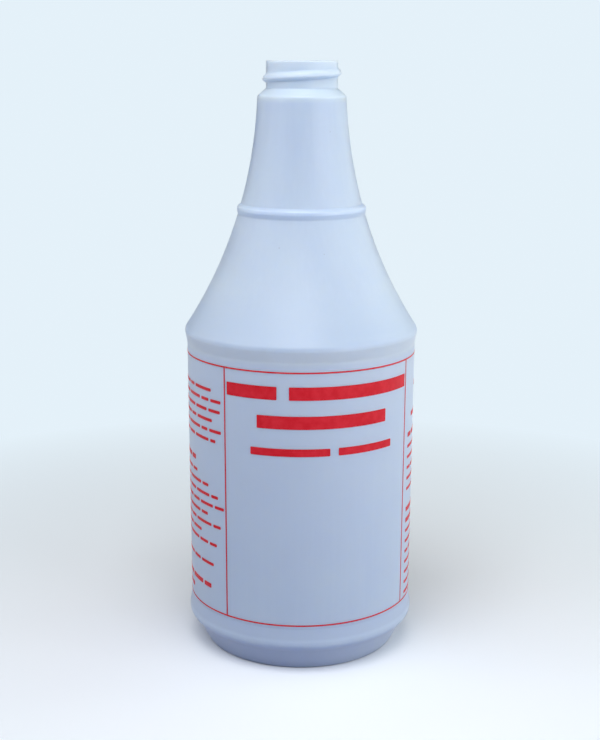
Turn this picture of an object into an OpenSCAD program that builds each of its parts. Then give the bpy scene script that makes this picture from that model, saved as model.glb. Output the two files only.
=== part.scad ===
// Blow-moulded bottle for spray cleaner: an open, hollow shell with a 28 mm screw neck
// and one colour of screen print. Millimetres. The axis is Z, the bottle stands on
// Z = 0 and the front of the print faces -Y.

/* [Foot and heel] */
// Height of the hollow under the base
pushup = 3.2; // [2:0.1:5]
// Width of the slope from the standing ring up into that hollow
pushup_slope = 4.5; // [4:0.1:8]
// Width of the ring that the bottle stands on
stand_w = 5.8; // [3.5:0.1:7]
// Height of the sloping foot wall
foot_h = 8.6; // [6:0.1:10]
// How far the foot wall slopes in on its way down
foot_slope = 4.6; // [3:0.1:6]
// How far the underside of the heel draws in to the foot wall
heel_under = 2.2; // [1.8:0.1:3.5]
// How far the heel stands out of the label panel
heel_stand = 0.8; // [0.5:0.1:2]
// Height of the heel at that radius
heel_band = 2.1; // [1.6:0.1:5]
// Height over which the heel draws in to the label panel
heel_draw = 4.8; // [3:0.1:8]

/* [Label panel] */
// Radius of the label panel
label_r = 41.4; // [34:0.1:48]
// Height of the label panel
label_h = 98.7; // [90:0.1:103]

/* [Shoulder and neck] */
// How far the shoulder stands out of the label panel
shoulder_stand = 0.9; // [0.5:0.1:1.5]
// Height over which the shoulder draws in to the label panel
shoulder_draw = 2.8; // [2:0.1:5]
// Radius of the one long curve from the shoulder to the neck
flare_r = 158.2; // [120:0.1:260]
// How far the neck stands out of the screw finish
neck_step = 3.05; // [2.2:0.05:4.5]
// Rise of the cone between the flare and the screw finish
cone_h = 2.5; // [1.8:0.1:4]
// Height of the grip ring's centre
ring_z = 162.2; // [150:0.1:172]
// Radius of the grip ring's round
ring_round = 1.3; // [1:0.1:1.6]
// How far the grip ring stands out of the flare
ring_stand = 0.8; // [0.4:0.1:1]

/* [Screw finish] */
// Overall height of the bottle
height = 212.3; // [205:0.1:225]
// Height of the finish, from its root to the lip
finish_h = 9.2; // [8.6:0.1:12]
// Radius of the finish between the threads
finish_r = 12.45; // [11:0.05:14]
// How far the thread stands out of the finish
thread_stand = 1.25; // [1:0.05:1.6]
// Rise of the thread in one turn, six turns to the inch
thread_pitch = 4.233; // [3:0.001:4.5]
// Length of the thread, in degrees round the neck
thread_turn = 360; // [300:5:380]
// Depth from the lip to the thread's crest at the front
thread_drop = 5.15; // [4.8:0.05:5.4]
// Thickness of the finish's wall, between its outside and the mouth
finish_wall = 1.55; // [1.3:0.05:2.2]
// How far the straight mouth runs down past the root of the finish
mouth_past = 0.9; // [0.4:0.1:3]

/* [Wall] */
// Thickness of the blown wall
wall = 0.9; // [0.6:0.05:1.2]
// Length of the pinched seam under the base
seam_len = 44; // [20:1:48]
// Width of that seam
seam_w = 0.9; // [0.6:0.1:2]
// How far the seam stands out of the base
seam_stand = 0.7; // [0.3:0.1:1.5]

/* [Print] */
// Thickness of the ink
ink = 0.12; // [0.1:0.01:0.3]
// Width of the frame's lines
line_w = 0.5; // [0.3:0.05:1]
// Distance from the panel's lower end to the frame's lower line
frame_low_gap = 1.4; // [0.9:0.1:4]
// Distance from the panel's upper end to the frame's upper line
frame_high_gap = 5.2; // [2:0.1:7]
// Width of the front panel, in degrees
front_deg = 103.1; // [98:0.1:110]
// Width of each side panel, in degrees
side_deg = 100; // [80:0.5:120]
// Fall from the frame's upper line to the first large row
title_drop = 7.2; // [5:0.1:9]
// Fall from the first large row to the second
title_step = 10.2; // [8:0.1:12]
// Fall from the second large row to the smaller one
small_step = 10.6; // [8:0.1:14]
// Height of the bars in the large rows
title_h = 4.6; // [3:0.1:7]
// Height of the bars in the smaller row
small_h = 2.7; // [2:0.1:4]
// Height of the fine rows' bars
row_h = 1.1; // [0.7:0.05:1.6]
// Height of the heading bars among the fine rows
head_h = 1.7; // [1.2:0.05:2.2]
// Fall from one fine row to the next on the left side
left_pitch = 3.65; // [3:0.01:3.75]
// Fall from one fine row to the next on the right side
right_pitch = 4.05; // [3:0.01:4.1]
// Margin between a side panel's line and the start of its rows
row_margin = 4; // [2:0.1:6]
// Gap between two bars of one row
word_gap = 1.5; // [1:0.1:3]

/* [Hidden] */
$fn = 96;

// Direction of the print's front
front = -90;

// Rounds on the corners of the section. An outer corner is rounded by more than the
// wall, so the inside has a round there too.
corner_round = wall + 0.35;
pushup_round = 2;
foot_crease = 1;
heel_round = 3;
label_round = 1;
shoulder_round = 3;
neck_round = 1.2;
lip_round = 0.4;

// Radii, from the label panel down to the middle of the base and up to the shoulder
heel_r = label_r + heel_stand;
foot_top_r = heel_r - heel_under;
foot_r = foot_top_r - foot_slope;
stand_r = foot_r - stand_w;
pushup_r = stand_r - pushup_slope;
shoulder_r = label_r + shoulder_stand;

// Radii of the neck and the mouth, from the screw finish
neck_r = finish_r + neck_step;
mouth_r = finish_r - finish_wall;

// Heights, from the foot up. The underside of the heel slopes at 45 degrees.
heel_low = foot_h + heel_under;
heel_high = heel_low + heel_band;
label_low = heel_high + heel_draw;
label_high = label_low + label_h;
flare_low = label_high + shoulder_draw;

// Heights, from the lip down. Inside, a throat leads from the blown wall to the mouth.
finish_low = height - finish_h;
neck_high = finish_low - cone_h;
mouth_low = finish_low - mouth_past;
throat_h = 3.2;
throat_low = mouth_low - throat_h;

// Steps along the flare, and degrees in one step of a round
flare_steps = 24;
round_step = 12;

// Centre of the flare's circle, which passes through the shoulder's edge and the neck's top
flare_a = [shoulder_r, flare_low];
flare_b = [neck_r, neck_high];
flare_chord = flare_b - flare_a;
flare_out = [flare_chord.y, -flare_chord.x] / norm(flare_chord);
flare_sag = sqrt(pow(flare_r, 2) - pow(norm(flare_chord) / 2, 2));
flare_c = (flare_a + flare_b) / 2 + flare_out * flare_sag;

// Radius of the flare at height z
function flare_at(z) = flare_c.x - sqrt(pow(flare_r, 2) - pow(z - flare_c.y, 2));

// Corners along the flare between its foot and a height, ends left out
function flare_points(high) =
    [for (i = [1:flare_steps - 1])
        let (z = flare_low + (high - flare_low) * i / flare_steps)
        [flare_at(z), z, 0]];

function unit(v) = v / norm(v);
function turned(v, a) = [v.x * cos(a) - v.y * sin(a), v.x * sin(a) + v.y * cos(a)];

// One corner [x, y, round] as an arc between its two sides
function corner(before, at, after) =
    let (
        p = [at.x, at.y],
        u = unit([before.x, before.y] - p),
        v = unit([after.x, after.y] - p),
        half = acos(max(-1, min(1, u * v))) / 2,
        turn = 180 - 2 * half,
        centre = p + unit(u + v) * at.z / sin(half),
        first = p + u * at.z / tan(half) - centre,
        way = sign(u.y * v.x - u.x * v.y),
        steps = max(2, ceil(turn / round_step))
    )
    [for (i = [0:steps]) centre + turned(first, way * turn * i / steps)];

// A chain of corners [x, y, round] as plain points, with its two ends as they are
function rounded(chain) =
    let (last = len(chain) - 1)
    [for (i = [0:last])
        each (i == 0 || i == last || chain[i].z == 0
            ? [[chain[i].x, chain[i].y]]
            : corner(chain[i - 1], chain[i], chain[i + 1]))];

// A chain of points moved by t to its left, so that each side moves by t
function inset(p, t) =
    let (last = len(p) - 1)
    [for (i = [0:last])
        let (
            a = turned(unit(i == 0 ? p[1] - p[0] : p[i] - p[i - 1]), 90),
            b = turned(unit(i == last ? p[i] - p[i - 1] : p[i + 1] - p[i]), 90)
        )
        p[i] + (a + b) * t / (1 + a * b)];

// Corners of the blown wall, from the axis under the base up to the flare
wall_corners = [
    [0, pushup, 0],
    [pushup_r, pushup, pushup_round],
    [stand_r, 0, corner_round],
    [foot_r, 0, corner_round],
    [foot_top_r, foot_h, foot_crease],
    [heel_r, heel_low, heel_round],
    [heel_r, heel_high, heel_round],
    [label_r, label_low, label_round],
    [label_r, label_high, label_round],
    [shoulder_r, flare_low, shoulder_round]];

finish_corners = [
    [neck_r, neck_high, neck_round],
    [finish_r, finish_low, lip_round],
    [finish_r, height, lip_round],
    [0, height, 0]];

// Outside of the whole bottle, as one filled section
module outer_section() {
    polygon(rounded(concat(wall_corners, flare_points(neck_high), finish_corners)));
}

// Hollow of the bottle: the blown wall's inside, the throat and the mouth
module inner_section() {
    over = height + lip_round;
    throat = [flare_at(throat_low), throat_low, 0];
    blown = rounded(concat(wall_corners, flare_points(throat_low), [throat]));
    mouth = [
        [mouth_r, mouth_low],
        [mouth_r, height - lip_round],
        [mouth_r + lip_round, height],
        [mouth_r + lip_round, over],
        [0, over]];
    polygon(concat(inset(blown, wall), mouth));
}

// Section of the thread as [height out of the finish, rise from the crest]. The upper
// flank is long, the crest narrow, and the lower flank, which carries the cap, steep.
thread_root = 0.4;
thread_above = 2.3;
thread_below = 1.3;
thread_crest = 0.35;
// Shares of its height at the knee of the upper flank and at the two sides of the crest
thread_knee = 0.72;
crest_above = 0.95;
crest_below = 0.9;
thread_section = [
    [-thread_root, thread_above],
    [thread_stand * thread_knee, thread_above / 2],
    [thread_stand * crest_above, thread_crest],
    [thread_stand, 0],
    [thread_stand * crest_below, -thread_crest],
    [-thread_root, -thread_below]];

// Degrees over which the thread runs out at each end, and its steps in all
thread_run = 30;
thread_steps = 72;
// How full it still is at its tips, which lie inside the wall
thread_tip = 0.15;
// Direction of its lower end: behind, and a little past the middle
thread_past = 4;
thread_start = front - thread_turn / 2 + thread_past;

// How full the section is at angle a from the start
function thread_full(a) =
    let (run = min(1, min(a, thread_turn - a) / thread_run))
    thread_tip + (1 - thread_tip) * sin(90 * run);

module thread() {
    n = len(thread_section);
    root_r = finish_r - thread_root;
    rings = [for (i = [0:thread_steps])
        let (
            a = thread_turn * i / thread_steps,
            full = thread_full(a),
            wide = (1 + full) / 2,
            dir = thread_start + a,
            crest = height - thread_drop + thread_pitch * (dir - front) / 360
        )
        [for (s = thread_section)
            let (out = root_r + (s.x + thread_root) * full)
            [out * cos(dir), out * sin(dir), crest + s.y * wide]]];
    sides = [for (i = [0:thread_steps - 1], j = [0:n - 1])
        let (a = i * n + j, b = i * n + (j + 1) % n)
        each [[a, a + n, b], [b, a + n, b + n]]];
    low_end = [for (j = [0:n - 1]) j];
    high_end = [for (j = [n - 1:-1:0]) thread_steps * n + j];
    polyhedron(points = [for (r = rings) each r], faces = concat(sides, [low_end, high_end]));
}

// The ring that fingers rest under, rounded and fused to the flare
module grip_ring() {
    rotate_extrude()
        translate([flare_at(ring_z) + ring_stand - ring_round, ring_z])
            circle(r = ring_round);
}

// The line where the blown tube was pinched shut, on the flat under the base
module base_seam() {
    translate([-seam_len / 2, -seam_w / 2, pushup - seam_stand])
        cube([seam_len, seam_w, seam_stand + wall / 2]);
}

module bottle() {
    color([0.82, 0.87, 0.93])
        difference() {
            union() {
                rotate_extrude() outer_section();
                grip_ring();
                thread();
                base_seam();
            }
            rotate_extrude() inner_section();
        }
}

frame_low = label_low + frame_low_gap;
frame_high = label_high - frame_high_gap;
front_half = front_deg / 2;
side_end = front_half + side_deg;

// Degrees that a length takes on the label panel
function deg(length) = length / label_r * 180 / PI;

// A curved plate round the axis from angle a to angle b as seen from the front, centred
// on height z, between two radii
module curved_plate(a, b, z, h, inner, outer) {
    rotate([0, 0, front + a])
        rotate_extrude(angle = b - a)
            translate([inner, z - h / 2])
                square([outer - inner, h]);
}

// One bar of ink on the label panel
module ink_bar(a, b, z, h) {
    curved_plate(a, b, z, h, label_r, label_r + ink);
}

// Lines round the front panel and the two side panels: one sheet with three windows
module frame_lines() {
    half = deg(line_w) / 2;
    middle = (frame_low + frame_high) / 2;
    tall = frame_high - frame_low;
    posts = [-side_end, -front_half, front_half, side_end];
    difference() {
        ink_bar(posts[0] - half, posts[3] + half, middle, tall + line_w);
        for (i = [0:2])
            curved_plate(
                posts[i] + half, posts[i + 1] - half, middle, tall - line_w,
                label_r - ink, label_r + 2 * ink
            );
    }
}

// Rows of large bars on the front: [fall from the frame's upper line, height of the
// bars, ends of each bar as shares of half the panel's width]
title_rows = [
    [title_drop, title_h, [[-0.97, -0.456], [-0.341, 0.97]]],
    [title_drop + title_step, title_h, [[-0.647, 0.647]]],
    [title_drop + title_step + small_step, small_h, [[-0.712, 0.043], [0.125, 0.73]]]];

module titles() {
    for (row = title_rows, bar = row[2])
        ink_bar(front_half * bar[0], front_half * bar[1], frame_high - row[0], row[1]);
}

// Blocks of fine rows on a side panel: [fall from the frame's upper line to the first
// row, gap from each row's end to the panel's line]
left_blocks = [
    [9.5, [4.5, 2, 1, 6, 2, 5]],
    [41.2, [18, 6.5, 4, 1, 7, 1, 14.5, 5]],
    [74.6, [5]]];
right_blocks = [
    [33.2, [9, 4, 12, 6, 20]],
    [65.7, [5, 11, 3, 8, 4, 13, 6]]];
// Headings: [fall, gap from the panel's line to the start, gap from the end to the line]
left_heads = [[36.7, 4, 19], [83.2, 4, 7], [87.7, 4, 24]];
right_heads = [[11.5, 14, 22], [21.8, 8, 32], [28.8, 4, 26], [57.3, 4, 14], [61.6, 4, 30]];
// Least distance from a row to the frame's lower line
row_clear = 1.6;

// Lengths of a row's bars, which vary with the row and the bar
word_mid = 19;
word_vary = 6;
word_least = 4;
row_turn = 131;
word_turn = 197;
function word_len(row, k) = word_mid + word_vary * sin(row_turn * row + word_turn * k);

// Bars of one row, as spans in degrees from its start
function words(row, room) =
    [for (
        k = 0, a = 0;
        a < room - deg(word_least);
        a = a + deg(word_len(row, k) + word_gap), k = k + 1
    )
        [a, min(a + deg(word_len(row, k)), room)]];

// One row between the panel's lines at angles low and high, less a gap at each end
module fine_row(low, high, drop, gaps, h, row) {
    z = frame_high - drop;
    start = low + deg(gaps[0]);
    room = high - deg(gaps[1]) - start;
    if (z > frame_low + row_clear)
        for (w = words(row, room))
            ink_bar(start + w[0], start + w[1], z, h);
}

// The rows and headings of one side panel
module side_rows(low, high, blocks, heads, pitch) {
    for (b = [0:len(blocks) - 1], i = [0:len(blocks[b][1]) - 1])
        fine_row(
            low, high, blocks[b][0] + pitch * i, [row_margin, blocks[b][1][i]], row_h,
            len(heads) * b + i
        );
    for (i = [0:len(heads) - 1])
        fine_row(low, high, heads[i][0], [heads[i][1], heads[i][2]], head_h, i);
}

module screen_print() {
    color([0.76, 0.12, 0.19]) {
        frame_lines();
        titles();
        side_rows(-side_end, -front_half, left_blocks, left_heads, left_pitch);
        side_rows(front_half, side_end, right_blocks, right_heads, right_pitch);
    }
}

bottle();
screen_print();
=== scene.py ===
from math import atan2, ceil, cos, degrees, hypot, pi, radians, sin, sqrt, tan

import bmesh
import bpy
import numpy as np
from mathutils import Matrix, Vector


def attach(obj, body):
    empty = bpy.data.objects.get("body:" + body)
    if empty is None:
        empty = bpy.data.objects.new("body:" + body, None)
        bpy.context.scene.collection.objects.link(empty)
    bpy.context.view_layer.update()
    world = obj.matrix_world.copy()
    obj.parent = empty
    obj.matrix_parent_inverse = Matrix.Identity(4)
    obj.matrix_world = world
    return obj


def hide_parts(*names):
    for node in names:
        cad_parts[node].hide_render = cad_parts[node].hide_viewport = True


MM = 0.001

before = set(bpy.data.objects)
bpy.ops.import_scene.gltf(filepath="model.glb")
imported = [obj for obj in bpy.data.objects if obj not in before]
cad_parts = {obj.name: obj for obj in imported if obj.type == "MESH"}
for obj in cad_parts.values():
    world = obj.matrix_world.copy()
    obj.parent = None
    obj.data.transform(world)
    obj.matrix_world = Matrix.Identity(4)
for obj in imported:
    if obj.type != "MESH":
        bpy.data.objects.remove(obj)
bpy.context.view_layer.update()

# Bottle, in millimetres

WALL = 0.9
HEIGHT = 212.3
BASE_Z = 3.2
HEEL_R = 42.2
LABEL_R = 41.4
# The one long curve from the shoulder to the neck is a circle: radius, and its two ends
FLARE_R = 158.2
FLARE_LOW = (42.3, 119.2)
FLARE_HIGH = (15.5, 200.6)
FLARE_STEP = 2.5
# Corners of the blown wall as (radius, height, round), from the axis under the base, over
# the standing ring, the foot, the heel and the label panel up to the shoulder
WALL_CORNERS = [
    (0, BASE_Z, 0),
    (25.1, BASE_Z, 2),
    (29.6, 0, 1.25),
    (35.4, 0, 1.25),
    (40, 8.6, 1),
    (HEEL_R, 10.8, 2.6),
    (HEEL_R, 12.9, 3),
    (LABEL_R, 17.7, 1),
    (LABEL_R, 114.6, 5),
    (*FLARE_LOW, 2.8),
]
# Grip ring: height of its middle, how far it stands out, and its half height
RING_Z = 162.2
RING_STAND = 0.8
RING_HALF = 1.15
# How far its foot and its top reach from its middle, as shares of the half height, and the
# rounds at its foot, lower edge, upper edge and top
RING_FOOT = 1.9
RING_TOP = 1.35
RING_ROUNDS = (1.2, 1.1, 0.7, 0.35)
# Neck, screw finish and lip
NECK_ROUND = 1.2
FINISH_R = 12.45
FINISH_LOW = 203.1
LIP_ROUND = 0.4
# Inside the neck: the throat's two ends and the straight mouth
THROAT_LOW = 199
MOUTH_LOW = 202.2
MOUTH_R = 10.9
# Thread: its section as (rise from the crest, height out of the finish)
THREAD_SECTION = [(-1.3, -0.4), (-0.35, 1.12), (0, 1.25), (0.35, 1.19), (1.15, 0.9), (2.3, -0.4)]
# Its corners are softened: each height is the mean of some samples so far to both sides
THREAD_SOFT = 0.22
THREAD_SAMPLES = 7
# Its pitch, the crest's height at the front, the degrees from its start to the front, and
# the degrees over which it runs out at each end
THREAD_PITCH = 4.233
THREAD_Z = 207.15
THREAD_BEFORE = 176
THREAD_RUN = 30
# Pinched seam under the base: length, width, how far it stands out, and its worn edges
SEAM = (44, 0.9, 0.7)
SEAM_ROUND = 0.3

# Steps of the mesh: round the axis, in one round of the wall and in a small round; and
# the lengths of the steps along straight parts and on the finish
ROUND_AXIS = 192
ROUND_STEPS = 6
SMALL_STEPS = 3
STRAIGHT_STEP = 4
FINISH_STEP = 0.13
# How far from the finish's surface a point may lie and still be on it, and how close two
# points are when they are one
FINISH_MARGIN = 0.1
MERGE = 0.001


def flare_centre():
    """Centre of the flare's circle, outside the bottle."""
    (ar, az), (br, bz) = FLARE_LOW, FLARE_HIGH
    chord = hypot(br - ar, bz - az)
    sag = sqrt(FLARE_R**2 - (chord / 2) ** 2)
    return (ar + br) / 2 + (bz - az) / chord * sag, (az + bz) / 2 - (br - ar) / chord * sag


FLARE_C = flare_centre()


def flare_at(z):
    """Radius of the flare at height z."""
    return FLARE_C[0] - sqrt(FLARE_R**2 - (z - FLARE_C[1]) ** 2)


def flare(low, high):
    """Plain corners along the flare, its two ends left out."""
    steps = ceil((high - low) / FLARE_STEP)
    heights = [low + (high - low) * i / steps for i in range(1, steps)]
    return [(flare_at(z), z, 0) for z in heights]


def grip_ring():
    """Corners over the grip ring: a foot that blends in, its round top and its upper step."""
    foot, top = RING_Z - RING_FOOT * RING_HALF, RING_Z + RING_TOP * RING_HALF
    lower, upper = RING_Z - RING_HALF / 2, RING_Z + RING_HALF / 2
    places = [
        (flare_at(foot), foot),
        (flare_at(lower) + RING_STAND, lower),
        (flare_at(RING_Z) + RING_STAND, upper),
        (flare_at(top), top),
    ]
    return [(*place, size) for place, size in zip(places, RING_ROUNDS)]


def inset(corners, by):
    """The corners moved by a distance to the left of their chain, each round kept parallel."""
    points = [Vector(c[:2]) for c in corners]
    moved = []
    for i, (at, corner) in enumerate(zip(points, corners)):
        into = (at - points[i - 1] if i else points[1] - at).normalized()
        out = (points[i + 1] - at if i + 1 < len(points) else at - points[i - 1]).normalized()
        left = Vector((-into.y, into.x)) + Vector((-out.y, out.x))
        turn = into.x * out.y - into.y * out.x
        size = corner[2] - by if turn > 0 else corner[2] + by
        at = at + left * by / (1 + into.dot(out))
        moved.append((at.x, at.y, size if corner[2] else 0))
    return moved


def bottle_section():
    """Corners round the whole wall, from the axis under the base, over the lip and down inside."""
    ring = grip_ring()
    outside = (
        WALL_CORNERS
        + flare(FLARE_LOW[1], ring[0][1])
        + ring
        + flare(ring[-1][1], FLARE_HIGH[1])
        + [
            (*FLARE_HIGH, NECK_ROUND),
            (FINISH_R, FINISH_LOW, LIP_ROUND),
            (FINISH_R, HEIGHT, LIP_ROUND),
            (MOUTH_R, HEIGHT, LIP_ROUND),
            (MOUTH_R, MOUTH_LOW, LIP_ROUND),
        ]
    )
    blown = WALL_CORNERS + flare(FLARE_LOW[1], THROAT_LOW) + [(flare_at(THROAT_LOW), THROAT_LOW, 0)]
    return outside + inset(blown, WALL)[::-1]


def draw_section(bm, corners):
    """A chain of edges through the corners, with their rounds and with the straights divided."""
    verts = [bm.verts.new((r * MM, 0, z * MM)) for r, z, _ in corners]
    for pair in zip(verts, verts[1:]):
        bm.edges.new(pair)
    for vert, (_, _, size) in zip(verts, corners):
        if size:
            a, b = (edge.other_vert(vert).co - vert.co for edge in vert.link_edges)
            bmesh.ops.bevel(
                bm,
                geom=[vert],
                offset=size * MM / tan(a.angle(b) / 2),
                offset_type="OFFSET",
                segments=ROUND_STEPS,
                profile=0.5,
                affect="VERTICES",
                material=-1,
            )
    for edge in bm.edges[:]:
        on_finish = all(is_finish(v.co) for v in edge.verts)
        step = FINISH_STEP if on_finish else STRAIGHT_STEP
        cuts = int(edge.calc_length() / (step * MM))
        if cuts:
            bmesh.ops.subdivide_edges(bm, edges=[edge], cuts=cuts)


def is_finish(co):
    """Whether a point is on the outside of the screw finish."""
    outside = hypot(co.x, co.y) > (FINISH_R - FINISH_MARGIN) * MM
    return outside and co.z > (FINISH_LOW - FINISH_MARGIN) * MM


def thread_height(angle, z):
    """How far the thread stands out of the finish, at an angle from its start and a height.
    It gets lower and narrower towards its ends."""
    run = min(1, min(angle, 360 - angle) / THREAD_RUN)
    full = sin(radians(90 * run))
    crest = THREAD_Z + THREAD_PITCH * (angle - THREAD_BEFORE) / 360
    rise = 2 * (z - crest) / (1 + full)
    near = np.linspace(rise - THREAD_SOFT, rise + THREAD_SOFT, THREAD_SAMPLES)
    return full * np.maximum(0, np.interp(near, *zip(*THREAD_SECTION))).mean()


def raise_thread(bm):
    """Moves the finish's surface out along the thread, with soft roots."""
    for vert in bm.verts:
        if is_finish(vert.co):
            from_front = degrees(atan2(vert.co.x, -vert.co.y))
            out = thread_height((from_front + THREAD_BEFORE) % 360, vert.co.z / MM)
            radius = hypot(vert.co.x, vert.co.y)
            vert.co.xy *= 1 + out * MM / radius


def add_base_seam(bm):
    """The ridge where the blown tube was pinched shut, let into the base, with worn edges."""
    length, width, stand = SEAM
    deep = stand + WALL / 2
    place = Matrix.Translation((0, 0, (BASE_Z - stand + deep / 2) * MM))
    size = Matrix.Diagonal((length * MM, width * MM, deep * MM, 1))
    cube = bmesh.ops.create_cube(bm, size=1, matrix=place @ size)
    low = [v for v in cube["verts"] if v.co.z < (BASE_Z - stand / 2) * MM]
    ridge = [e for v in low for e in v.link_edges if all(w in low for w in e.verts)]
    bmesh.ops.bevel(
        bm,
        geom=list(set(ridge)),
        offset=SEAM_ROUND * MM,
        offset_type="OFFSET",
        segments=SMALL_STEPS,
        profile=0.5,
        affect="EDGES",
        material=-1,
    )


def new_piece(name, bm, material, node):
    """A finished mesh as a piece that stands for a CAD node."""
    mesh = bpy.data.meshes.new(name)
    bm.to_mesh(mesh)
    bm.free()
    mesh.shade_smooth()
    mesh.materials.append(material)
    piece = bpy.data.objects.new(name, mesh)
    bpy.context.scene.collection.objects.link(piece)
    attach(piece, "root")
    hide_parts(node)
    return piece


def build_bottle(material):
    """The bottle's whole wall, turned round its axis, with its thread and base seam."""
    bm = bmesh.new()
    draw_section(bm, bottle_section())
    bmesh.ops.spin(
        bm,
        geom=bm.verts[:] + bm.edges[:],
        cent=(0, 0, 0),
        axis=(0, 0, 1),
        angle=2 * pi,
        steps=ROUND_AXIS,
        use_merge=True,
    )
    bmesh.ops.remove_doubles(bm, verts=bm.verts, dist=MERGE * MM)
    raise_thread(bm)
    add_base_seam(bm)
    bmesh.ops.recalc_face_normals(bm, faces=bm.faces)
    return new_piece("bottle_shell", bm, material, "bottle")


# Print, in millimetres on the label panel laid flat: x runs round it from the front, z up

# How far the ink reaches into the wall and out of it
INK_INTO = 0.05
INK_OUT = 0.06
LINE_W = 0.5
FRAME_LOW = 19.1
FRAME_HIGH = 111.2
# Angles from the front to the lines beside the front panel and behind the side panels
FRONT_DEG = 51.55
SIDE_DEG = 151.55
BAR_ROUND = 0.3
BEND_STEP = 2
# Faces that meet at more than this angle keep a hard edge
RIM_ANGLE = radians(40)
# Rows of large bars: (middle, height of the bars, ends of each bar as shares of the panel)
TITLE_ROWS = [
    (104, 4.6, [(-0.97, -0.456), (-0.341, 0.97)]),
    (93.8, 4.6, [(-0.647, 0.647)]),
    (83.2, 2.7, [(-0.712, 0.043), (0.125, 0.73)]),
]
# Blocks of fine rows: (fall to the first row, gap from each row's end to the panel's line)
LEFT_BLOCKS = [
    (9.5, (4.5, 2, 1, 6, 2, 5)),
    (41.2, (18, 6.5, 4, 1, 7, 1, 14.5, 5)),
    (74.6, (5,)),
]
RIGHT_BLOCKS = [(33.2, (9, 4, 12, 6, 20)), (65.7, (5, 11, 3, 8, 4, 13, 6))]
# Headings: (fall, gap from the panel's line to the start, gap from the end to the line)
LEFT_HEADS = [(36.7, 4, 19), (83.2, 4, 7), (87.7, 4, 24)]
RIGHT_HEADS = [(11.5, 14, 22), (21.8, 8, 32), (28.8, 4, 26), (57.3, 4, 14), (61.6, 4, 30)]
LEFT_PITCH = 3.65
RIGHT_PITCH = 4.05
ROW_MARGIN = 4
ROW_H = 1.1
HEAD_H = 1.7
# Words: mean length, how far it varies, the gap between two, and the least length left
WORD_MEAN = 7.5
WORD_VARIES = 3.5
WORD_GAP = 1.2
WORD_LEAST = 2.5


def round_label(angle):
    """Length round the label panel up to an angle in degrees."""
    return radians(angle) * LABEL_R


def add_rectangle(bm, x0, x1, z, height):
    """A flat rectangle between two places round the panel, centred on a height."""
    place = Matrix.Translation(((x0 + x1) / 2 * MM, z * MM, 0))
    size = Matrix.Diagonal(((x1 - x0) / 2 * MM, height / 2 * MM, 1, 1))
    return bmesh.ops.create_grid(bm, x_segments=1, y_segments=1, size=1, matrix=place @ size)["verts"]


def add_bar(bm, x0, x1, z, height):
    """A bar of ink with rounded corners."""
    bmesh.ops.bevel(
        bm,
        geom=add_rectangle(bm, x0, x1, z, height),
        offset=BAR_ROUND * MM,
        offset_type="OFFSET",
        segments=SMALL_STEPS,
        profile=0.5,
        affect="VERTICES",
        material=-1,
    )


def cut(bm, place, direction):
    """Cuts every face of the flat print along one line."""
    bmesh.ops.bisect_plane(
        bm, geom=bm.verts[:] + bm.edges[:] + bm.faces[:], plane_co=place, plane_no=direction
    )


def add_frame(bm):
    """Lines round the three panels: one sheet with three windows."""
    posts = [round_label(a) for a in (-SIDE_DEG, -FRONT_DEG, FRONT_DEG, SIDE_DEG)]
    half = LINE_W / 2
    middle, tall = (FRAME_LOW + FRAME_HIGH) / 2, FRAME_HIGH - FRAME_LOW
    add_rectangle(bm, posts[0] - half, posts[3] + half, middle, tall + LINE_W)
    windows = [(a + half, b - half) for a, b in zip(posts, posts[1:])]
    for edge in [x for window in windows for x in window]:
        cut(bm, (edge * MM, 0, 0), (1, 0, 0))
    for z in (FRAME_LOW + half, FRAME_HIGH - half):
        cut(bm, (0, z * MM, 0), (0, 1, 0))

    def in_window(face):
        x, z = face.calc_center_median().xy / MM
        return FRAME_LOW + half < z < FRAME_HIGH - half and any(a < x < b for a, b in windows)

    bmesh.ops.delete(bm, geom=[f for f in bm.faces if in_window(f)], context="FACES")


def word_length(row, word):
    """Lengths of a row's words, which vary with the row and the word."""
    return WORD_MEAN + WORD_VARIES * sin(radians(131 * row + 197 * word))


def add_row(bm, low, high, fall, height, row):
    """One row of words between two places round the panel."""
    word = 0
    while high - low > WORD_LEAST:
        end = min(low + word_length(row, word), high)
        add_bar(bm, low, end, FRAME_HIGH - fall, height)
        low, word = end + WORD_GAP, word + 1


def add_side_rows(bm, low, high, blocks, heads, pitch):
    """The rows and headings of one side panel."""
    for block, (first, gaps) in enumerate(blocks):
        for i, gap in enumerate(gaps):
            add_row(bm, low + ROW_MARGIN, high - gap, first + pitch * i, ROW_H, 3 * block + i)
    for i, (fall, start, gap) in enumerate(heads):
        add_row(bm, low + start, high - gap, fall, HEAD_H, i)


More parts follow.
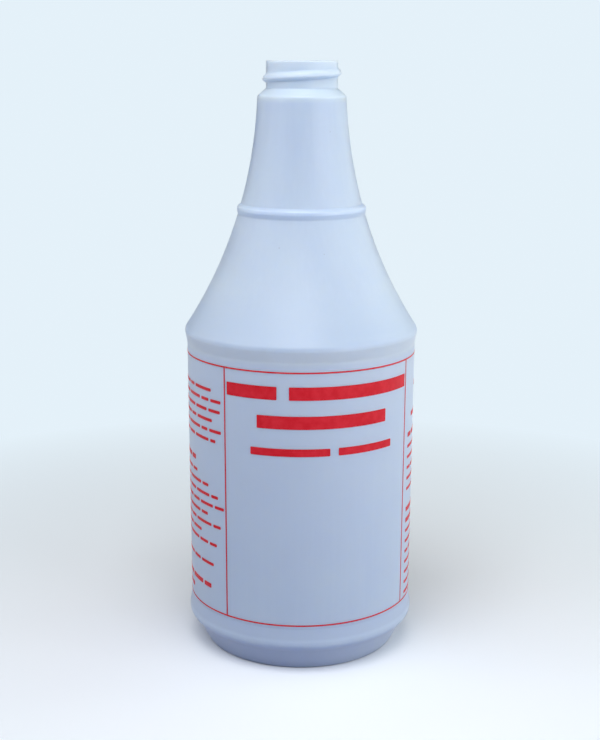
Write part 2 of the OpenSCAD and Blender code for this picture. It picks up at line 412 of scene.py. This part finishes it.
def build_print(material):
    """The whole print, drawn flat, cut into strips, given its thickness and bent round."""
    bm = bmesh.new()
    add_frame(bm)
    for z, height, bars in TITLE_ROWS:
        for a, b in bars:
            add_bar(bm, round_label(FRONT_DEG * a), round_label(FRONT_DEG * b), z, height)
    front, side = round_label(FRONT_DEG), round_label(SIDE_DEG)
    add_side_rows(bm, -side, -front, LEFT_BLOCKS, LEFT_HEADS, LEFT_PITCH)
    add_side_rows(bm, front, side, RIGHT_BLOCKS, RIGHT_HEADS, RIGHT_PITCH)

    for angle in np.arange(-SIDE_DEG, SIDE_DEG, BEND_STEP):
        cut(bm, (round_label(angle) * MM, 0, 0), (1, 0, 0))
    bmesh.ops.translate(bm, verts=bm.verts, vec=(0, 0, -INK_INTO * MM))
    sheet = bmesh.ops.extrude_face_region(bm, geom=bm.faces[:], use_keep_orig=True)["geom"]
    raised = [v for v in sheet if isinstance(v, bmesh.types.BMVert)]
    bmesh.ops.translate(bm, verts=raised, vec=(0, 0, (INK_INTO + INK_OUT) * MM))
    for vert in bm.verts:
        angle, radius = vert.co.x / (LABEL_R * MM), LABEL_R * MM + vert.co.z
        vert.co = (radius * sin(angle), -radius * cos(angle), vert.co.y)
    bmesh.ops.recalc_face_normals(bm, faces=bm.faces)
    for edge in bm.edges:
        edge.smooth = edge.calc_face_angle(0) < RIM_ANGLE
    return new_piece("printed_ink", bm, material, "screen_print")


# Materials


class Material:
    """A material with one Principled shader, and short calls for the nodes that feed it."""

    def __init__(self, name, **fixed):
        self.material = bpy.data.materials.new(name)
        self.material.use_nodes = True
        self.tree = self.material.node_tree
        self.shader = self.tree.nodes["Principled BSDF"]
        for socket, value in fixed.items():
            self.shader.inputs[socket.replace("_", " ")].default_value = value

    def node(self, kind, inputs=None, **settings):
        """A new node. An input is a number, a colour, or another node's output."""
        node = self.tree.nodes.new("ShaderNode" + kind)
        for name, value in settings.items():
            setattr(node, name, value)
        for name, value in (inputs or {}).items():
            self.feed(node.inputs[name], value)
        return node

    def feed(self, socket, value):
        if isinstance(value, bpy.types.NodeSocket):
            self.tree.links.new(value, socket)
        else:
            socket.default_value = value

    def place(self, scale=(1, 1, 1)):
        """Places on the object in metres, stretched by a scale."""
        where = self.node("TexCoord").outputs["Object"]
        return self.node("Mapping", {"Vector": where, "Scale": scale}).outputs["Vector"]

    def noise(self, size, detail=2, scale=(1, 1, 1)):
        """Noise whose grains are about so many millimetres across."""
        inputs = {"Vector": self.place(scale), "Scale": 1 / (size * MM), "Detail": detail}
        return self.node("TexNoise", inputs).outputs["Fac"]

    def spread(self, value, low, high, to_low, to_high):
        """The value's range from low to high, spread from to_low to to_high."""
        inputs = {
            "Value": value,
            "From Min": low,
            "From Max": high,
            "To Min": to_low,
            "To Max": to_high,
        }
        return self.node("MapRange", inputs).outputs["Result"]

    def mix(self, share, a, b):
        node = self.node("Mix", data_type="RGBA")
        self.feed(node.inputs[0], share)
        self.feed(node.inputs[6], a)
        self.feed(node.inputs[7], b)
        return node.outputs[2]

    def bump(self, height, depth, under=None):
        """Bump of a height from 0 to 1, so many millimetres deep, over another bump."""
        inputs = {"Height": height, "Distance": depth * MM, "Strength": 1.0}
        if under:
            inputs["Normal"] = under
        return self.node("Bump", inputs).outputs["Normal"]


# Milky plastic: its two cloudy tones, the paler streaks along it, and its specks
CLOUD_DEEP = (0.55, 0.66, 0.86, 1)
CLOUD_PALE = (0.58, 0.70, 0.87, 1)
STREAK = (0.61, 0.72, 0.90, 1)
SPECK = (0.30, 0.36, 0.46, 1)
# Places of the specks: (angle from the front, height and size in millimetres)
SPECKS = [(-29, 151, 0.35), (5, 149, 0.3), (24, 189, 0.3)]
# Bands of colour by height, mostly painted light and shade. The neck and finish are whiter, partly
# because the wall is thick there and partly as painted light. There is painted shade at the flare's
# low end and painted light under the shoulder. The label panel is lighter towards its top as painted
# light, the heel has painted shade, and the foot is less blue. Each band is (heights where its tone
# starts, is full, stays full and ends, and its colour).
THICK_WALL_AND_PAINTED_LIGHT_BANDS = [
    # Step below the finish, and the finish: whiter, partly for the thick wall and partly as painted
    # light
    (198.3, 199.8, 202.8, 203.8, (0.61, 0.72, 0.82, 1)),
    (202.8, 203.8, 213, 214, (0.62, 0.725, 0.84, 1)),
    # Low end of the flare: painted shade; under the shoulder: painted light that fills the shade of
    # the step
    (117.5, 119, 123, 136, (0.525, 0.64, 0.83, 1)),
    (112.5, 114.5, 117.8, 119.2, (0.71, 0.82, 1.0, 1)),
    # Label panel, lighter towards its top as painted light; heel, painted shade; foot, less blue
    (25, 112, 112.5, 114.5, (0.63, 0.74, 1.0, 1)),
    (12.8, 14.2, 18, 19.2, (0.50, 0.60, 0.78, 1)),
    (-2, -1, 8.5, 10.5, (0.57, 0.66, 0.79, 1)),
]
# Unevenness of the plastic: sizes across and depths in millimetres. The streaks are drawn
# out along the bottle.
CLOUD_SIZE = 22
WAVE_SIZE = 26
WAVE_DEPTH = 0.12
STREAK_SIZE = 1.6
STREAK_DEPTH = 0.010
STREAK_DRAWN_OUT = (1, 1, 0.03)
GRAIN_SIZE = 0.5
GRAIN_DEPTH = 0.006
# Trace of the mould's parting line on both sides: half its width on top and at its foot,
# and how far it stands out
PARTING_TOP = 0.05
PARTING_FOOT = 0.3
PARTING_STAND = 0.05
# Red ink, where it is thin and where it is full, and the sizes of its clouds and grain
INK_THIN = (0.68, 0.012, 0.022, 1)
INK_FULL = (0.76, 0.026, 0.04, 1)
INK_CLOUD_SIZE = 3
INK_GRAIN_SIZE = 0.6


def with_thick_wall_and_painted_light(m, color):
    """The colour with bands by height: whiter at the thick neck, partly as painted light, and painted
    light and shade on the rest.
    """
    height = m.node("SeparateXYZ", {0: m.place()}).outputs["Z"]
    for start, full, stays, end, tone in THICK_WALL_AND_PAINTED_LIGHT_BANDS:
        low = m.spread(height, start * MM, full * MM, 0, 1)
        high = m.spread(height, stays * MM, end * MM, 1, 0)
        share = m.node("Math", {0: low, 1: high}, operation="MULTIPLY").outputs[0]
        color = m.mix(share, color, tone)
    return color


def with_specks(m, color):
    """The colour with the few tiny specks on the flare."""
    for angle, z, size in SPECKS:
        radius = flare_at(z)
        spot = Vector((radius * sin(radians(angle)), -radius * cos(radians(angle)), z)) * MM
        inputs = {0: m.place(), 1: spot}
        far = m.node("VectorMath", inputs, operation="DISTANCE").outputs["Value"]
        color = m.mix(m.spread(far, size / 2 * MM, size * MM, 0.35, 0), color, SPECK)
    return color


def plastic_surface(m, streaks):
    """Soft waves, the streaks, the trace of the parting line and fine grain, as one bump."""
    across = m.node("SeparateXYZ", {0: m.place()}).outputs["Y"]
    off_line = m.node("Math", {0: across}, operation="ABSOLUTE").outputs[0]
    line = m.spread(off_line, PARTING_TOP * MM, PARTING_FOOT * MM, 1, 0)
    normal = m.bump(m.noise(WAVE_SIZE, detail=1), WAVE_DEPTH)
    normal = m.bump(streaks, STREAK_DEPTH, normal)
    normal = m.bump(line, PARTING_STAND, normal)
    return m.bump(m.noise(GRAIN_SIZE), GRAIN_DEPTH, normal)


def plastic():
    """Natural high-density polyethylene: milky, satin and slightly translucent."""
    m = Material(
        "milky_hdpe",
        Subsurface_Weight=0.85,
        Subsurface_Radius=(1.0, 0.9, 0.8),
        Subsurface_Scale=3.5 * MM,
        IOR=1.54,
    )
    cloud = m.spread(m.noise(CLOUD_SIZE, detail=3), 0.3, 0.7, 0, 1)
    streaks = m.noise(STREAK_SIZE, detail=1, scale=STREAK_DRAWN_OUT)
    color = m.mix(cloud, CLOUD_DEEP, CLOUD_PALE)
    color = m.mix(m.spread(streaks, 0.45, 0.8, 0, 0.25), color, STREAK)
    # Bands by height, mostly painted light and shade, then the specks
    color = with_specks(m, with_thick_wall_and_painted_light(m, color))
    m.feed(m.shader.inputs["Base Color"], color)
    m.feed(m.shader.inputs["Roughness"], m.spread(cloud, 0, 1, 0.36, 0.46))
    m.feed(m.shader.inputs["Normal"], plastic_surface(m, streaks))
    return m.material


def ink():
    """Red screen-printing ink, a little uneven in strength."""
    m = Material("red_screen_ink", IOR=1.48, Specular_IOR_Level=0.2)
    uneven = m.spread(m.noise(INK_CLOUD_SIZE, detail=3), 0.35, 0.7, 0, 1)
    m.feed(m.shader.inputs["Base Color"], m.mix(uneven, INK_THIN, INK_FULL))
    m.feed(m.shader.inputs["Roughness"], m.spread(uneven, 0, 1, 0.4, 0.5))
    m.feed(m.shader.inputs["Normal"], m.bump(m.noise(INK_GRAIN_SIZE), GRAIN_DEPTH))
    return m.material


# Stage, light and camera

# What the camera sees of the floor far from the bottle and of everything behind it
BACKDROP = (0.78, 0.88, 0.95, 1)
# The floor's own colour under the lamps, to the camera and to light that goes back up
FLOOR_SEEN = (0.87, 0.90, 0.93, 1)
FLOOR_BOUNCE = (0.29, 0.33, 0.50, 1)
# Half the floor's side and where it fades into the backdrop, in metres, and how far it
# lies below the bottle, in millimetres
FLOOR_HALF = 4
FADE = (0.10, 0.32)
FLOOR_UNDER = 0.02
# Even light from all round: colour and strength
AROUND = ((0.90, 0.93, 1.0, 1), 0.02)
# Soft square lamps: name, azimuth, elevation, distance, size, power, colour, and the height
# that each is aimed at. Azimuth 0 is in front of the print, and 90 on its right.
LAMPS = [
    ("right_edge", 110, 15, 1.1, 0.9, 3.0, (0.96, 1.0, 0.87), 0.13),
    ("left_edge", -120, 20, 1.1, 0.9, 2.0, (1.0, 0.95, 0.86), 0.13),
    ("above_front", -20, 60, 0.8, 0.6, 5.7, (0.95, 0.97, 1.0), 0.15),
    ("near_left", -75, 20, 0.35, 0.3, 0.52, (0.88, 0.92, 1.0), 0.2),
    ("near_right", 40, 5, 0.4, 0.3, 0.65, (0.92, 0.93, 0.96), 0.2),
    ("low_right", 75, 10, 0.6, 0.5, 1.0, (0.90, 0.96, 0.98), 0.15),
    ("low_front", 22, 8, 1.2, 0.4, 0.6, (1.0, 1.0, 1.0), 0.12),
]


def sees_stage(m):
    """1 for the rays that show the stage: the camera's, and those through gloss or glass."""
    path = m.node("LightPath").outputs
    seen = path["Is Camera Ray"]
    for ray in ("Is Glossy Ray", "Is Transmission Ray"):
        seen = m.node("Math", {0: seen, 1: path[ray]}, operation="MAXIMUM").outputs[0]
    return seen


def add_stage():
    """A pale floor that keeps the bottle's shadow and fades into the plain backdrop. It
    sends less light back on the bottle than the camera sees."""
    bm = bmesh.new()
    bmesh.ops.create_grid(bm, x_segments=1, y_segments=1, size=FLOOR_HALF)
    bmesh.ops.translate(bm, verts=bm.verts, vec=(0, 0, -FLOOR_UNDER * MM))
    mesh = bpy.data.meshes.new("floor")
    bm.to_mesh(mesh)
    bm.free()
    floor = bpy.data.objects.new("floor", mesh)
    bpy.context.scene.collection.objects.link(floor)

    m = Material("pale_floor", Roughness=0.9, Specular_IOR_Level=0.1)
    seen = sees_stage(m)
    m.feed(m.shader.inputs["Base Color"], m.mix(seen, FLOOR_BOUNCE, FLOOR_SEEN))
    away = m.node("VectorMath", {0: m.place()}, operation="LENGTH").outputs["Value"]
    fade = m.spread(away, *FADE, 0, 1)
    fade = m.node("Math", {0: fade, 1: seen}, operation="MULTIPLY").outputs[0]
    plain = m.node("Emission", {"Color": BACKDROP}).outputs[0]
    surface = m.node("MixShader", {0: fade, 1: m.shader.outputs[0], 2: plain}).outputs[0]
    m.feed(m.tree.nodes["Material Output"].inputs["Surface"], surface)
    mesh.materials.append(m.material)


def add_lamp(name, azimuth, elevation, distance, size, power, color, aim):
    """A soft square lamp round the bottle, aimed at a height on its axis."""
    light = bpy.data.lights.new(name, "AREA")
    light.size = size
    light.energy = power
    light.color = color
    a, e = radians(azimuth), radians(elevation)
    way = Vector((sin(a) * cos(e), -cos(a) * cos(e), sin(e)))
    lamp = bpy.data.objects.new(name, light)
    lamp.location = Vector((0, 0, aim)) + way * distance
    lamp.rotation_euler = way.to_track_quat("Z", "Y").to_euler()
    bpy.context.scene.collection.objects.link(lamp)


def add_world(color, strength):
    """Even light from all round, and the backdrop where the camera looks past the floor."""
    world = bpy.data.worlds.new("studio")
    world.use_nodes = True
    nodes, links = world.node_tree.nodes, world.node_tree.links
    around = nodes["Background"]
    around.inputs["Color"].default_value = color
    around.inputs["Strength"].default_value = strength
    behind = nodes.new("ShaderNodeBackground")
    behind.inputs["Color"].default_value = BACKDROP
    path = nodes.new("ShaderNodeLightPath")
    mix = nodes.new("ShaderNodeMixShader")
    links.new(path.outputs["Is Camera Ray"], mix.inputs[0])
    links.new(around.outputs[0], mix.inputs[1])
    links.new(behind.outputs[0], mix.inputs[2])
    links.new(mix.outputs[0], nodes["World Output"].inputs["Surface"])
    bpy.context.scene.world = world


# The camera stands a little left of the print's front and looks down on the bottle
CAMERA_AZIMUTH = -12
CAMERA_AWAY = 469.64
CAMERA_HEIGHT = 210.82
CAMERA_DOWN = 16.008
CAMERA_ROLL = 0.2
FOCAL_PIXELS = 1307.06
IMAGE_HEIGHT = 740
AXIS_BELOW_MIDDLE = 70
AXIS_RIGHT_OF_MIDDLE = 0.7


def add_camera():
    camera = bpy.data.cameras.new("camera")
    camera.lens = FOCAL_PIXELS * camera.sensor_width / IMAGE_HEIGHT
    camera.shift_x = -AXIS_RIGHT_OF_MIDDLE / IMAGE_HEIGHT
    camera.shift_y = AXIS_BELOW_MIDDLE / IMAGE_HEIGHT
    camera.clip_start = 0.02
    eye = bpy.data.objects.new("camera", camera)
    side = radians(CAMERA_AZIMUTH)
    eye.location = Vector((CAMERA_AWAY * sin(side), -CAMERA_AWAY * cos(side), CAMERA_HEIGHT)) * MM
    turn = Matrix.Rotation(side, 4, "Z") @ Matrix.Rotation(radians(90 - CAMERA_DOWN), 4, "X")
    turn = turn @ Matrix.Rotation(radians(CAMERA_ROLL), 4, "Z")
    eye.rotation_euler = turn.to_euler()
    bpy.context.scene.collection.objects.link(eye)
    bpy.context.scene.camera = eye


build_bottle(plastic())
build_print(ink())
add_stage()
add_world(*AROUND)
for lamp in LAMPS:
    add_lamp(*lamp)
add_camera()
bpy.context.scene.view_settings.view_transform = "Standard"
